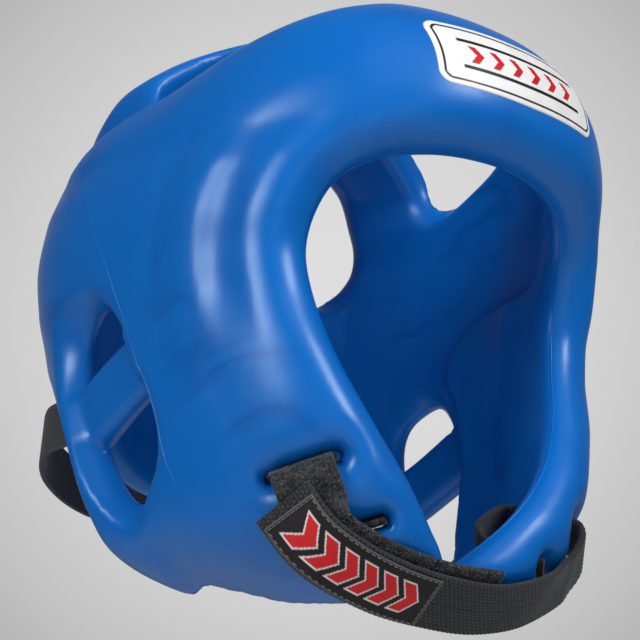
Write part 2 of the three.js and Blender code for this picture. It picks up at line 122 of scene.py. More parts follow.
# Foam shell: the same level sections and outlines as the solid, with full round rims.
# A pair whose name ends in At is a centre and a half reach, and any other pair is the span of a fade.
foam = {
    "cell": 1.8, "low": (-104, -132, -172), "high": (104, 108, 76),
    "sectionPower": 2.35, "cheekPower": 0.35, "cheekZ": (-40, -85), "cheekAhead": (-0.1, 0.3),
    # height, then half width, front and back of the outside and of the inside
    "sections": [
        (0, 88.5, 122, 91, 72, 101, 77), (-16, 92, 121, 95, 74, 100, 80), (-32, 93.5, 120.5, 96, 74, 98, 81),
        (-50, 92, 118, 92, 74, 98, 78), (-65, 90, 117, 86, 73, 98, 73), (-82, 89.5, 118, 79, 72, 99, 67),
        (-100, 88, 119, 76, 70, 101, 63), (-120, 85, 117, 73, 66, 99, 59), (-138, 79, 112, 69, 57, 92, 54),
        (-150, 70, 106, 63, 43, 85, 45), (-158, 58, 99, 56, 30, 79, 37), (-168, 44, 92, 47, 20, 73, 29),
    ],
    "crownOut": 66.8, "crownIn": 55.5, "crownFront": 2.9, "crownSide": 1.55, "crownTurn": (88, 20),
    "wrap": 100,                         # millimetres of outline to one radian
    # half outline of the face opening: angle from the front, height
    "face": [
        (0, -2.5), (8, -3.5), (16, -5.5), (25, -10), (32.5, -19), (36.5, -36), (36, -53), (30, -80),
        (21.5, -105), (14, -122), (8, -134), (3.9, -141), (2.1, -147), (1.9, -170), (1.9, -215),
    ],
    # lower rim from the chin round to the nape
    "lower": [
        (0, -157), (14, -159), (28, -159), (42, -156.5), (52, -154.8), (65, -153.5), (78, -155.5),
        (90, -149), (95.5, -134), (101.5, -115), (107, -102), (114, -91), (121.5, -83), (129, -78.5),
        (137, -78), (147, -86), (156, -97), (166, -104), (180, -106),
    ],
    # upper edge of the band under the crown openings
    "crownEdge": [
        (0, 58), (30, 54), (50, 45), (60, 40.5), (70, 36), (80, 31), (90, 25.5), (98, 21), (105, 15.5),
        (112, 6.5), (120, -4), (130, -10), (145, -11.5), (180, -11.5),
    ],
    "edgeSlope": 0.95,
    "strip": 50, "strut": 39, "strutY": 27.5, "fillet": 26,
    # rear hump and the waist under it, crest over the brow, step down from the band to the struts
    "hump": 5.5, "humpRise": (20, 46), "waist": 0.5, "waistAt": (12, 20), "rearTurn": (65, 105),
    "crest": 2, "crestTurnAt": (0, 42), "crestAt": (46, 32),
    "step": 5, "stepRise": (-0.5, 3), "stepEnd": (34, 12), "stepTurn": (45, 60),
    # padded rolls beside the face opening: distance from the edge, half reach, height, temple only
    "rolls": [(20, 22, 2, 0), (17, 16, 1.5, 1), (41, 19, 3, 1), (29, 11, -1.5, 1)],
    "templeTop": (22, -18), "templeFoot": (-95, -55),
    # rear edge of the pad inside each cheek: depth below the brow, angle
    "padEdge": [
        (20, 40), (26, 58), (30, 71), (38, 79), (45, 82), (51, 82), (59, 77), (71, 73), (88, 69), (107, 67),
        (130, 58),
    ],
    "padHeight": 5, "padStep": (-2.5, 2.5), "padTop": (20, 28), "padFront": (4, 30),
    "jawPull": 13, "jawPullAt": (62, 52),
    "taper": 2.5, "taperFrom": (92, 118), "taperTo": (150, 128), "taperZ": (-50, -95),
    # reach of each rounded rim, and where its tip lies in the wall, from the inside
    "faceRim": 15, "jawRim": 20, "neckRim": 9, "crownRim": 8, "earRim": 7,
    "faceTip": 0.36, "jawTip": 0.20, "neckTip": 0.45, "crownTip": 0.85, "earTip": 0.5,
    "jawTurn": (95, 60), "rimJoin": 0.06, "fieldScale": 0.55,
}
ear = {
    "angle": 86.2, "z": -93, "halfWidth": 19.5, "halfLength": 39, "lean": -34, "power": 2.6, "wallRadius": 92,
    "bevelRear": 8, "bevelFront": 3, "bevelTurn": (-8, 10), "bevelFoot": -3,
    "barWidth": 26, "barOffset": 6, "barLean": 9, "barThickness": 11, "barRound": 3,
    "rimShare": 0.6, "rimLeast": 3,
}
cheekSlots = {
    "facing": (29, -122),                # angle and height where their common direction is taken
    "width": 3.8, "lip": 7, "halfBore": 45, "dipAt": (-3, 15),
    "top": -95, "back": -50,             # nothing is cut above or behind these
    "rows": [
        {"angle": 34, "z": -123, "rise": 24, "length": 27, "dip": 2.5},
        {"angle": 24, "z": -141, "rise": 22, "length": 22.6, "dip": 1.0},
    ],
}

sections = np.array(foam["sections"], float)


def plainRadius(skin, phi, eps, z):
    first = 1 if skin == "out" else 4
    depth = -np.minimum(z, 0)
    width, front, back = (tableValue(-sections[:, 0], sections[:, first + k], depth) for k in range(3))
    c = np.cos(phi)
    cheek = smoothStep(*foam["cheekZ"], z) * smoothStep(*foam["cheekAhead"], c)
    n = foam["sectionPower"] + foam["cheekPower"] * cheek
    flat = (np.abs(np.sin(phi) / width) ** n + np.abs(c / np.where(c > 0, front, back)) ** n) ** (-1 / n)
    top = foam["crownOut"] if skin == "out" else foam["crownIn"]
    ahead = smoothStep(*foam["crownTurn"], np.degrees(np.abs(phi)))
    m = foam["crownSide"] + (foam["crownFront"] - foam["crownSide"]) * ahead
    return ((np.cos(eps) / flat) ** m + (np.sin(eps) / top) ** m) ** (-1 / m)


# Signed distance to the two outlines, kept as maps over angle and height.
mapAngles = np.linspace(0, np.pi, 481)
mapHeights = np.linspace(-240, 170, 411)             # one millimetre apart
outlineSteps = 10


def outlineMap(rows, insideOf):
    line = roundCurve([(math.radians(a) * foam["wrap"], z) for a, z in rows], outlineSteps)
    a, h = np.meshgrid(mapAngles * foam["wrap"], mapHeights, indexing="ij")
    q = np.stack([a.ravel(), h.ravel()], -1)
    best = np.full(len(q), 1e9)
    for start, end in zip(line[:-1], line[1:]):
        run = end - start
        t = np.clip(((q - start) @ run) / (run @ run), 0, 1)
        best = np.minimum(best, np.hypot(*(q - start - t[:, None] * run).T))
    kept = np.where(insideOf(q, line), best, -best).reshape(a.shape)
    return (np.roll(kept, 1, 1) + 2 * kept + np.roll(kept, -1, 1)) / 4   # softens its corners a little


def beyondFace(q, line):
    half = np.interp(-q[:, 1], -line[:, 1], line[:, 0])
    return ~((q[:, 0] < half) & (q[:, 1] < line[0, 1]))


def aboveLower(q, line):
    return q[:, 1] > np.interp(q[:, 0], line[:, 0], line[:, 1])


faceMap = outlineMap(foam["face"], beyondFace)
lowerMap = outlineMap(foam["lower"], aboveLower)


def readMap(table, phi, height):
    a = np.abs(phi) / np.pi * (len(mapAngles) - 1)
    b = np.clip(height - mapHeights[0], 0, len(mapHeights) - 1.1)
    i = np.minimum(a.astype(int), len(mapAngles) - 2)
    j = b.astype(int)
    u, v = a - i, b - j
    below = table[i, j] * (1 - u) + table[i + 1, j] * u
    above = table[i, j + 1] * (1 - u) + table[i + 1, j + 1] * u
    return below * (1 - v) + above * v


def atWall(angle, z):                    # point on the plain outer skin
    r = float(plainRadius("out", np.array([angle]), np.zeros(1), np.array([z]))[0])
    return np.array([r * math.sin(angle), -r * math.cos(angle), z])


def wallFrame(angle, z):
    turn = unit(atWall(angle + 0.02, z) - atWall(angle - 0.02, z))
    up = unit(atWall(angle, z + 2) - atWall(angle, z - 2))
    out = unit(np.cross(turn, up))
    return turn, np.cross(out, turn), out


def slotFrame(slot, side):               # side -1 is the wearer's right
    angle, z = cheekSlots["facing"]
    turn, up, out = wallFrame(side * math.radians(angle), z)
    rise = math.radians(slot["rise"])
    long = -side * turn * math.cos(rise) + up * math.sin(rise)
    return atWall(side * math.radians(slot["angle"]), slot["z"]), out, unit(long)


slotFrames = {side: [slotFrame(slot, side) for slot in cheekSlots["rows"]] for side in (-1, 1)}


def slotDistance(p, slot, side, index):
    point, out, long = slotFrames[side][index]
    q = p - point
    u, v, w = q @ long, q @ np.cross(out, long), q @ out
    width = cheekSlots["width"]
    bore = np.hypot(np.maximum(np.abs(u) - (slot["length"] - width) / 2, 0), v) - width / 2
    return bore, w


def foamField(p):                        # below zero inside the foam, about in millimetres
    x, y, z = p[:, 0], p[:, 1], p[:, 2]
    phi = np.arctan2(x, -y)
    flat, rise = np.hypot(x, y), np.maximum(z, 0)
    eps, r = np.arctan2(rise, flat), np.hypot(flat, rise)
    outer = plainRadius("out", phi, eps, z)
    inner = plainRadius("in", phi, eps, z)
    height = np.where(z > 0, eps * foam["wrap"], z)
    face = readMap(faceMap, phi, height)
    lower = readMap(lowerMap, phi, height)
    turn = np.degrees(np.abs(phi))
    edge = tableValue(*zip(*foam["crownEdge"]), turn)
    hump = foam["hump"] * smoothStep(*foam["humpRise"], height)
    bulge = hump - foam["waist"] * swell(height, *foam["waistAt"])
    bulge = bulge * smoothStep(*foam["rearTurn"], turn)
    bulge = bulge + foam["crest"] * swell(turn, *foam["crestTurnAt"]) * swell(height, *foam["crestAt"])
    outer, inner = outer + bulge, inner + bulge
    above = height - edge                # the struts sit lower than the band, behind a crisp step
    drop = smoothStep(*foam["stepRise"], above) * smoothStep(*foam["stepEnd"], above)
    outer = outer - foam["step"] * drop * smoothStep(*foam["stepTurn"], turn)
    # the closed strap draws the left jaw up
    lower = lower - foam["jawPull"] * swell(np.degrees(phi), *foam["jawPullAt"])
    behind = tableValue(*zip(*foam["padEdge"]), -z) - turn
    pad = smoothStep(*foam["padStep"], behind) * smoothStep(*foam["padTop"], -z)
    inner = inner - foam["padHeight"] * pad * smoothStep(*foam["padFront"], face)
    thin = smoothStep(*foam["taperFrom"], turn) * smoothStep(*foam["taperTo"], turn)
    outer = outer - foam["taper"] * thin * smoothStep(*foam["taperZ"], z)
    temple = smoothStep(*foam["templeTop"], height) * smoothStep(*foam["templeFoot"], height)
    for start, reach, tall, templeOnly in foam["rolls"]:
        outer = outer + tall * swell(face, start, reach) * (temple if templeOnly else 1)
    cheeks = (z < cheekSlots["top"]) & (y < cheekSlots["back"])
    bores = []
    for side in (-1, 1):
        for index, slot in enumerate(cheekSlots["rows"]):
            bore, w = slotDistance(p, slot, side, index)
            near = cheeks & (x * side > 0)
            outer = outer - np.where(near, slot["dip"] * swell(bore, *cheekSlots["dipAt"]), 0)
            bores.append(np.where(near, np.maximum(bore, np.abs(w) - cheekSlots["halfBore"]), farOff))
    shrink = (outer + inner) / 2 / np.maximum(r, 1e-6)
    edge = (edge - height) * foam["edgeSlope"]
    strip = foam["strip"] / 2 - np.abs(x * shrink)
    strut = foam["strut"] / 2 - np.abs(y * shrink - foam["strutY"])
    crown = smoothMax(smoothMax(edge, strip, foam["fillet"]), strut, foam["fillet"])
    across = np.radians(turn - ear["angle"]) * ear["wallRadius"]
    up, lean = z - ear["z"], math.radians(ear["lean"])
    u = across * math.cos(lean) + up * math.sin(lean)
    v = up * math.cos(lean) - across * math.sin(lean)
    n = ear["power"]
    oval = (np.abs(u / ear["halfWidth"]) ** n + np.abs(v / ear["halfLength"]) ** n) ** (1 / n)
    hole = (oval - 1) * ear["halfWidth"]
    tilt = math.radians(ear["barLean"])
    bar = ear["barWidth"] / 2 - np.abs(v * math.cos(tilt) - u * math.sin(tilt) - ear["barOffset"])
    bevel = ear["bevelFront"] + (ear["bevelRear"] - ear["bevelFront"]) * smoothStep(*ear["bevelTurn"], u)
    recess = smoothStep(bevel, ear["bevelFoot"], hole)
    outer = outer * (1 - recess) + (inner + ear["barThickness"]) * recess
    thick = outer - inner

    def rim(distance, reach, share):     # half round edge with its tip at a share of the wall
        tip = inner + thick * share
        g = np.where(r > tip, (r - tip) / (outer - tip), (tip - r) / (tip - inner))
        return np.sqrt(np.maximum(0, (reach - distance) / reach) ** 2 + g**2) - 1

    front = smoothStep(*foam["jawTurn"], turn)
    lowerRim = foam["neckRim"] + (foam["jawRim"] - foam["neckRim"]) * front
    lowerTip = foam["neckTip"] + (foam["jawTip"] - foam["neckTip"]) * front
    earRim = np.clip(thick * ear["rimShare"], ear["rimLeast"], foam["earRim"])
    join = foam["rimJoin"]
    f = rim(face, foam["faceRim"], foam["faceTip"])
    f = smoothMax(f, rim(lower, lowerRim, lowerTip), join)
    f = smoothMax(f, rim(crown, foam["crownRim"], foam["crownTip"]), join)
    f = smoothMax(f, rim(smoothMax(hole, bar, ear["barRound"]), earRim, foam["earTip"]), join)
    f = f * thick * foam["fieldScale"]
    for bore in bores:
        f = smoothMax(f, -bore, cheekSlots["lip"])
    return f


def netSurface(field, low, high, cell):  # closed quad mesh round the field's zero level
    low = np.array(low, float)
    count = np.ceil((np.array(high) - low) / cell).astype(int) + 1
    axes = [low[k] + cell * np.arange(count[k]) for k in range(3)]
    value = np.empty(count)
    for i, x in enumerate(axes[0]):
        yy, zz = np.meshgrid(axes[1], axes[2], indexing="ij")
        value[i] = field(np.stack([np.full(yy.size, x), yy.ravel(), zz.ravel()], -1)).reshape(yy.shape)
    inside = value < 0
    total = sum(inside[i:count[0] - 1 + i, j:count[1] - 1 + j, k:count[2] - 1 + k].astype(int)
                for i in (0, 1) for j in (0, 1) for k in (0, 1))
    active = (total > 0) & (total < 8)
    number = np.full(active.shape, -1)
    number[active] = np.arange(active.sum())
    cells = np.argwhere(active)
    spot, hits = np.zeros((len(cells), 3)), np.zeros(len(cells))
    for corner in np.ndindex(2, 2, 2):
        for axis in range(3):
            if corner[axis]:
                continue
            far = list(corner)
            far[axis] = 1
            a, b = (value[tuple((cells + c).T)] for c in (corner, far))
            cross = (a < 0) != (b < 0)
            t = np.where(cross, a / np.where(cross, a - b, 1), 0)
            place = np.array(corner, float) + t[:, None] * (np.array(far) - np.array(corner))
            spot[cross] += place[cross]
            hits[cross] += 1
    verts = low + cell * (cells + spot / hits[:, None])
    quads = []
    for axis, (s, t) in enumerate(((1, 2), (2, 0), (0, 1))):
        first, second = [slice(None)] * 3, [slice(None)] * 3
        first[axis], second[axis] = slice(0, -1), slice(1, None)
        edges = np.argwhere(inside[tuple(first)] != inside[tuple(second)])
        ring = []
        for ds, dt in ((1, 1), (0, 1), (0, 0), (1, 0)):
            e = edges.copy()
            e[:, s] -= ds
            e[:, t] -= dt
            ring.append(number[tuple(e.T)])
        quad = np.stack(ring, -1)
        flip = ~inside[tuple(edges.T)]
        quad[flip] = quad[flip][:, ::-1]
        quads.append(quad)
    return verts, np.vstack(quads)


def fieldSlope(p, h=0.3):                # by differences over h millimetres each way
    slope = np.zeros_like(p)
    for k in range(3):
        step = np.zeros(3)
        step[k] = h
        slope[:, k] = (foamField(p + step) - foamField(p - step)) / (2 * h)
    return slope


def settle(p, rounds, most=1.2):         # slide points onto the foam's surface
    for _ in range(rounds):
        g = fieldSlope(p)
        size = np.linalg.norm(g, axis=1) + 1e-6
        p = p - (np.clip(foamField(p) / size, -most, most) / size)[:, None] * g
    return p


def landOn(start, direction, reach, step=1.0, halvings=14):     # where lines from outside first meet the foam
    direction = unit(np.broadcast_to(np.asarray(direction, float), start.shape))
    far = np.full(len(start), float(reach))
    done = np.zeros(len(start), bool)
    for t in np.arange(0, reach, step):
        hit = ~done & (foamField(start + direction * t) < 0)
        far[hit] = t
        done |= hit
    low, high = far - step, far
    for _ in range(halvings):
        mid = (low + high) / 2
        inside = foamField(start + direction * mid[:, None]) < 0
        low, high = np.where(inside, low, mid), np.where(inside, mid, high)
    return start + direction * high[:, None], done


# Meshes and materials.
def makePiece(name, verts, faces, material):         # points in millimetres
    mesh = bpy.data.meshes.new(name)
    verts = np.asarray(verts, float) * mm
    mesh.from_pydata(verts.tolist(), [], [list(map(int, f)) for f in faces])
    mesh.polygons.foreach_set("use_smooth", [True] * len(mesh.polygons))
    mesh.materials.append(material)
    mesh.update()
    piece = bpy.data.objects.new(name, mesh)
    scene.collection.objects.link(piece)
    return piece


def tubeMesh(paths, radius, sides):      # many thin closed tubes of equal point count
    paths = np.asarray(paths, float)
    count, n = paths.shape[:2]
    run = unit(np.gradient(paths, axis=1))
    helper = np.where(np.abs(run[..., 2:3]) < 0.9, (0.0, 0.0, 1.0), (1.0, 0.0, 0.0))
    one = unit(np.cross(run, helper))
    two = np.cross(run, one)
    turn = np.arange(sides) * 2 * np.pi / sides
    size = np.broadcast_to(np.asarray(radius, float), (count, n))[..., None, None]
    ring = one[:, :, None] * np.cos(turn)[:, None] + two[:, :, None] * np.sin(turn)[:, None]
    verts = (paths[:, :, None] + ring * size).reshape(-1, 3)
    t, i, j = np.meshgrid(np.arange(count), np.arange(n - 1), np.arange(sides), indexing="ij")
    a, b = (t * n + i) * sides + j, (t * n + i) * sides + (j + 1) % sides
    faces = np.stack([a, b, b + sides, a + sides], -1).reshape(-1, 4).tolist()
    first = np.arange(count)[:, None] * n * sides + np.arange(sides)
    faces += first[:, ::-1].tolist() + (first + (n - 1) * sides).tolist()
    return verts, faces


class Paint:                             # short way to wire a node material
    def __init__(self, name):
        self.material = bpy.data.materials.new(name)
        self.material.use_nodes = True
        self.tree = self.material.node_tree
        self.shader = self.tree.nodes["Principled BSDF"]
        self.coords = self.node("ShaderNodeTexCoord").outputs["Object"]

    def node(self, kind, **values):
        made = self.tree.nodes.new(kind)
        for key, value in values.items():
            setattr(made, key, value)
        return made

    def link(self, a, b):
        self.tree.links.new(a, b)

    def put(self, node, values):
        for key, value in values.items():
            if isinstance(value, bpy.types.NodeSocket):
                self.link(value, node.inputs[key])
            else:
                node.inputs[key].default_value = value
        return node

    def noise(self, scale, detail=2, rough=0.5, warp=0):
        n = self.put(self.node("ShaderNodeTexNoise"), {
            "Scale": scale, "Detail": detail, "Roughness": rough, "Distortion": warp, "Vector": self.coords})
        return n.outputs["Fac"]

    def ramp(self, value, stops):
        n = self.node("ShaderNodeValToRGB")
        points = n.color_ramp.elements
        while len(points) < len(stops):
            points.new(0.5)
        for point, (place, colour) in zip(points, stops):
            point.position = place
            point.color = colour if len(colour) == 4 else (*colour, 1)
        self.link(value, n.inputs["Fac"])
        return n.outputs["Color"]

    def range(self, value, low, high, toLow, toHigh):
        n = self.put(self.node("ShaderNodeMapRange"), {
            "Value": value, "From Min": low, "From Max": high, "To Min": toLow, "To Max": toHigh})
        return n.outputs["Result"]

    def math(self, kind, a, b):
        n = self.node("ShaderNodeMath", operation=kind)
        for socket, value in zip(n.inputs, (a, b)):
            if isinstance(value, bpy.types.NodeSocket):
                self.link(value, socket)
            else:
                socket.default_value = value
        return n.outputs[0]

    def mix(self, share, a, b, blend="MIX"):
        n = self.node("ShaderNodeMix", data_type="RGBA", blend_type=blend)
        for socket, value in zip((n.inputs[0], n.inputs[6], n.inputs[7]), (share, a, b)):
            if isinstance(value, bpy.types.NodeSocket):
                self.link(value, socket)
            else:
                colour = isinstance(value, tuple) and len(value) == 3
                socket.default_value = (*value, 1) if colour else value
        return n.outputs[2]

    def bumpFrom(self, height, depth, strength=1.0, under=None):
        n = self.put(self.node("ShaderNodeBump"), {"Height": height, "Distance": depth, "Strength": strength})
        if under is not None:
            self.link(under, n.inputs["Normal"])
        return n.outputs["Normal"]

    def shade(self, **values):
        self.put(self.shader, {key.replace("_", " "): value for key, value in values.items()})
        return self.material


foamSkin = {
    "blue": (0.0010, 0.128, 0.50), "deep": (0.0006, 0.085, 0.38), "pale": (0.002, 0.150, 0.53),
    "marbleSize": 9, "veinHalf": 0.06, "patchSize": 14, "patchSpan": (0.42, 0.62), "veinMost": 0.75,
    "paleSize": 6, "paleMost": 0.35,
    "roughness": (0.28, 0.36), "glossSize": 30,
    "waveSize": 70, "waveDepth": 0.0006, "grainSize": 1400, "grainDepth": 0.00006,
}


def foamMaterial(look):
    p = Paint("moulded foam skin")
    cloud = p.noise(look["marbleSize"], 3, 0.55, 1.6)
    vein = p.math("ABSOLUTE", p.math("SUBTRACT", cloud, 0.5), 0)
    streak = p.range(vein, 0.0, look["veinHalf"], 1.0, 0.0)
    patch = p.range(p.noise(look["patchSize"], 1), *look["patchSpan"], 0.0, look["veinMost"])
    pale = p.range(p.noise(look["paleSize"], 2), *noiseSpan, 0, look["paleMost"])
    tone = p.mix(pale, look["blue"], look["pale"])
    tone = p.mix(p.math("MULTIPLY", streak, patch), tone, look["deep"])
    normal = p.bumpFrom(p.noise(look["waveSize"], 2, 0.4), look["waveDepth"], 0.25)
    normal = p.bumpFrom(p.noise(look["grainSize"], 2, 0.6), look["grainDepth"], 0.5, normal)
    rough = p.range(p.noise(look["glossSize"], 3), *noiseSpan, *look["roughness"])
    return p.shade(Base_Color=tone, Roughness=rough, Normal=normal, Specular_IOR_Level=0.55,
                   Specular_Tint=(0.7, 0.86, 1.0, 1))


# Thin raised lines where the mould halves met: down each side, and round the face opening.
mouldLine = {
    "radius": 0.34, "sunk": 0.12, "spacing": 0.8, "fade": 6, "steps": 24, "sides": 6,
    "side": [
        (112, 8), (104, -7), (98, -16), (87.5, -41), (80.5, -62), (72, -86), (66, -108), (62, -121),
        (58, -132), (52, -145), (46, -151),
    ],
    "faceRows": 12,                      # rows of the face outline that it follows
}


def mouldLines(look):
    lines = []
    for side in (-1, 1):
        for rows, share in ((look["side"], 1.0), (foam["face"][:look["faceRows"]], foam["faceTip"])):
            turned = [(math.radians(a) * side, h / foam["wrap"]) for a, h in rows]
            lines.append((roundCurve(turned, look["steps"]), share))
    verts, faces = [], []
    for line, share in lines:
        phi, eps, z = line[:, 0], np.maximum(line[:, 1], 0), np.minimum(line[:, 1], 0) * foam["wrap"]
        r = plainRadius("out", phi, eps, z) * share + plainRadius("in", phi, eps, z) * (1 - share)
        flat = r * np.cos(eps)
        p = np.stack([flat * np.sin(phi), -flat * np.cos(phi), z + r * np.sin(eps)], -1)
        p = settle(p, 12)
        far = np.concatenate([[0], np.cumsum(np.linalg.norm(np.diff(p, axis=0), axis=1))])
        even = np.linspace(0, far[-1], int(far[-1] / look["spacing"]))
        p = settle(np.stack([np.interp(even, far, p[:, k]) for k in range(3)], -1), 4)
        p = p - unit(fieldSlope(p)) * look["sunk"]
        size = look["radius"] * np.minimum(1, np.minimum(even, far[-1] - even) / look["fade"] + 0.05)
        v, f = tubeMesh(p[None], size[None], look["sides"])
        start = sum(len(q) for q in verts)
        faces += [[k + start for k in face] for face in f]
        verts.append(v)
    return np.vstack(verts), faces


foamMat = foamMaterial(foamSkin)
verts, quads = netSurface(foamField, foam["low"], foam["high"], foam["cell"])
verts = settle(verts, 3)
lineVerts, lineFaces = mouldLines(mouldLine)
quads = quads.tolist() + [[k + len(verts) for k in q] for q in lineFaces]
shell = makePiece("foamShell", np.vstack([verts, lineVerts]), quads, foamMat)
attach(shell, "root")
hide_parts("shell")
print("foam shell:", len(quads), "quads")


# Straps: closed ribbons along the same routes as the solids.
sunkEnds = 0.1                           # how far the ends of a thread go into the cloth


def routeLine(points, t):                # rounded line through the stations, and its direction
    pts = np.vstack([2 * points[0] - points[1], points, 2 * points[-1] - points[-2]])
    place = np.clip(t, 0, 1 - 1e-9) * (len(points) - 1)
    k = place.astype(int)
    w = (place - k)[:, None]
    a, b, c, d = (pts[k + i] for i in range(4))
    da, db, dc = (np.linalg.norm(q - p, axis=1, keepdims=True) ** 0.5 for p, q in ((a, b), (b, c), (c, d)))
    leave = ((b - a) / da - (c - a) / (da + db) + (c - b) / db) * db
    reach = ((c - b) / db - (d - b) / (db + dc) + (d - c) / dc) * db
    bend, twist = 3 * (c - b) - 2 * leave - reach, 2 * (b - c) + leave + reach
    return b + leave * w + bend * w**2 + twist * w**3, unit(leave + 2 * bend * w + 3 * twist * w**2)


def ribbonFrames(route, spacing, lift=0, first=0, last=1, samples=3000):
    at, across, rise = route
    t = np.linspace(first, last, samples)
    steps = np.linalg.norm(np.diff(routeLine(at, t)[0], axis=0), axis=1)
    far = np.concatenate([[0], np.cumsum(steps)])
    along = np.linspace(0, far[-1], int(far[-1] / spacing) + 1)
    t = np.interp(along, far, t)
    line, run = routeLine(at, t)
    place = np.minimum(t, 1 - 1e-9) * (len(at) - 1)
    k = place.astype(int)
    blend = smoothStep(0, 1, place - k)[:, None]
    side = across[k] * (1 - blend) + across[k + 1] * blend
    side = unit(side - run * (side * run).sum(1, keepdims=True))
    face = unit(np.cross(side, run))
    off = lift + rise[k, None] * (1 - blend) + rise[k + 1, None] * blend
    return {"along": along, "line": line + face * off, "side": side, "face": face, "run": run}


def ribbonMesh(frames, width, thick, columns, relief, selvedge=(0.0, 1.0), edge=0.8):
    u = np.linspace(-1, 1, columns + 1) * width / 2
    ring = np.concatenate([u, u[-2:0:-1]])           # over the top and back underneath
    sign = np.concatenate([np.ones(columns + 1), -np.ones(columns - 1)])
    sign[[0, columns]] = 0
    past = np.maximum(0, np.abs(ring) - (width / 2 - edge)) / edge
    half = thick / 2 * np.sqrt(np.maximum(0, 1 - past**2))
    s, across = np.meshgrid(frames["along"], ring, indexing="ij")
    raised = relief(s, across)
    lift = half + raised * half / (thick / 2)
    loops = selvedge[0] * np.abs(np.sin(np.pi * s / selvedge[1])) * (past > 0.5) * np.sign(across)
    points = frames["line"][:, None] + frames["side"][:, None] * (across + loops)[..., None]
    points = points + frames["face"][:, None] * (sign * lift)[..., None]
    rows, n = len(s), len(ring)
    i, j = np.meshgrid(np.arange(rows - 1), np.arange(n), indexing="ij")
    a, b = i * n + j, i * n + (j + 1) % n
    quads = np.stack([a, b, b + n, a + n], -1).reshape(-1, 4).tolist()
    for row, flip in ((0, True), (rows - 1, False)):
        for c in range(columns):
            cap = [c, c + 1] + ([n - c - 1] if c + 1 < columns else []) + ([n - c] if c else [])
            cap = [row * n + k for k in cap]
            quads.append(cap[::-1] if flip else cap)
    return points.reshape(-1, 3), quads, ((raised - raised.min()) / np.ptp(raised)).reshape(-1, 1)


def joined(*parts):                      # several meshes as one, with a tone for each
    verts, faces, tones, start = [], [], [], 0
    for v, f, tone in parts:
        verts.append(v)
        faces += [[k + start for k in q] for q in f]
        tones.append(np.broadcast_to(np.asarray(tone, float), (len(v), 3)))
        start += len(v)
    return np.vstack(verts), faces, np.vstack(tones)


def paintTones(piece, tones):
    layer = piece.data.color_attributes.new("tone", "FLOAT_COLOR", "POINT")
    layer.data.foreach_set("color", np.c_[tones, np.ones(len(tones))].astype(np.float32).ravel())


def stitchRow(points, face, run, length, bulge):     # short threads lying along a line
    t = np.linspace(-1, 1, 5)
    reach = run[:, None] * (t * length / 2)[None, :, None]
    arch = bulge * (1 - t**2) - sunkEnds
    return points[:, None] + reach + face[:, None] * arch[None, :, None]


chinStrap = {
    "width": 22, "thick": 2, "tone": (0.011, 0.0115, 0.0135), "loopShift": 3.5,
    # centre, width direction, lift of each layer off the centre line
    "route": [
        (-69.2, -92.6, -135.5, -0.2, 0.5, -0.84, 2.6), (-58.4, -99, -148.2, -0.15, 0.6, -0.78, 2.7),
        (-35, -103, -156.5, -0.08, 0.68, -0.73, 1.6), (-11, -105, -158.5, -0.03, 0.72, -0.69, 1.6),
        (12, -105, -157, 0.03, 0.72, -0.69, 1.6), (35, -103, -150, 0.08, 0.68, -0.73, 1.6),
        (54, -98, -139, 0.3, 0.62, -0.72, 1.6),
    ],
    # slot, distance down the cheek, distance out, counted from the inside if 1
    "slotRun": [
        (0, 11, 4.2, 0), (0, 4, 4.8, 0), (0, -0.4, 2, 0), (0, -0.6, -4, 0), (0, -0.6, 2, 1), (0, 3, -5.5, 1),
        (1, -4, -5, 1), (1, 0, 5, 1), (1, 0, -1.5, 0),
    ],
    # row spacing, columns, and the size and pitch of the loops along each edge
    "hookMesh": (0.42, 60, (0.22, 1.9)), "loopMesh": (0.5, 44, (0.25, 1.4)),
    "fuzz": (0.030, 0.031, 0.035), "fibres": 3600, "fibreRadius": 0.07,
    "fibreTall": (0.25, 0.7), "fibreWide": (0.4, 1.1), "fibreGlintTone": (0.2, 3.2),
}
rearStrap = {
    "width": 19, "thick": 2, "tone": (0.014, 0.015, 0.018), "thread": (0.16, 0.16, 0.17),
    "half": [
        (64.5, 20, -88.5), (63, 35, -88.5), (61.8, 55, -89), (57, 74, -89.5), (43.5, 92, -94),
        (22, 103, -99.5), (0, 106, -101.5),
    ],
    "mesh": (0.48, 50, (0.15, 1.6)),
    # two seams across each end: rows from the end, half width, pitch
    "seamRows": (24, 30), "seamHalf": 7.5, "seamPitch": 1.5, "seamLift": 0.12,
    "threadLength": 1.0, "threadBulge": 0.25, "threadRadius": 0.16,
}
threadSides = 6


def slotStations(side):
    out = []
    for index, down, far, deep in chinStrap["slotRun"]:
        point, face, long = slotFrames[side][index]
        depth = 0.0
        while deep and depth < 60:       # step in until the inner skin is passed
            depth += 0.5
            p = point - face * depth
            phi = np.array([math.atan2(p[0], -p[1])])
            if math.hypot(p[0], p[1]) < plainRadius("in", phi, np.zeros(1), p[2:])[0]:
                break
        out.append((point + face * (far - depth) + np.cross(face, long) * side * down, -long, 0.0))
    return out


def asRoute(rows):
    at, across, rise = zip(*rows)
    return np.array(at), unit(np.array(across)), np.array(rise, float)


def chinStations(first, last, layer):    # the loop layer lies a little higher than the hook layer
    rows = []
    for r in chinStrap["route"][first:last]:
        across = unit(np.array(r[3:6]))
        shift = chinStrap["loopShift"] if layer < 0 else 0
        rows.append((np.array(r[:3]) - across * shift, across, layer * r[6]))
    return rows


def ribWeave(s, u):                      # raised floats in offset columns
    column, pitch, tall = 1.35, 1.9, 0.32
    which = np.floor(u / column) % 2
    bead = np.abs(np.cos(np.pi * (s / pitch + 0.5 * which))) ** 0.7
    return tall * bead * np.abs(np.sin(np.pi * u / column)) ** 0.5


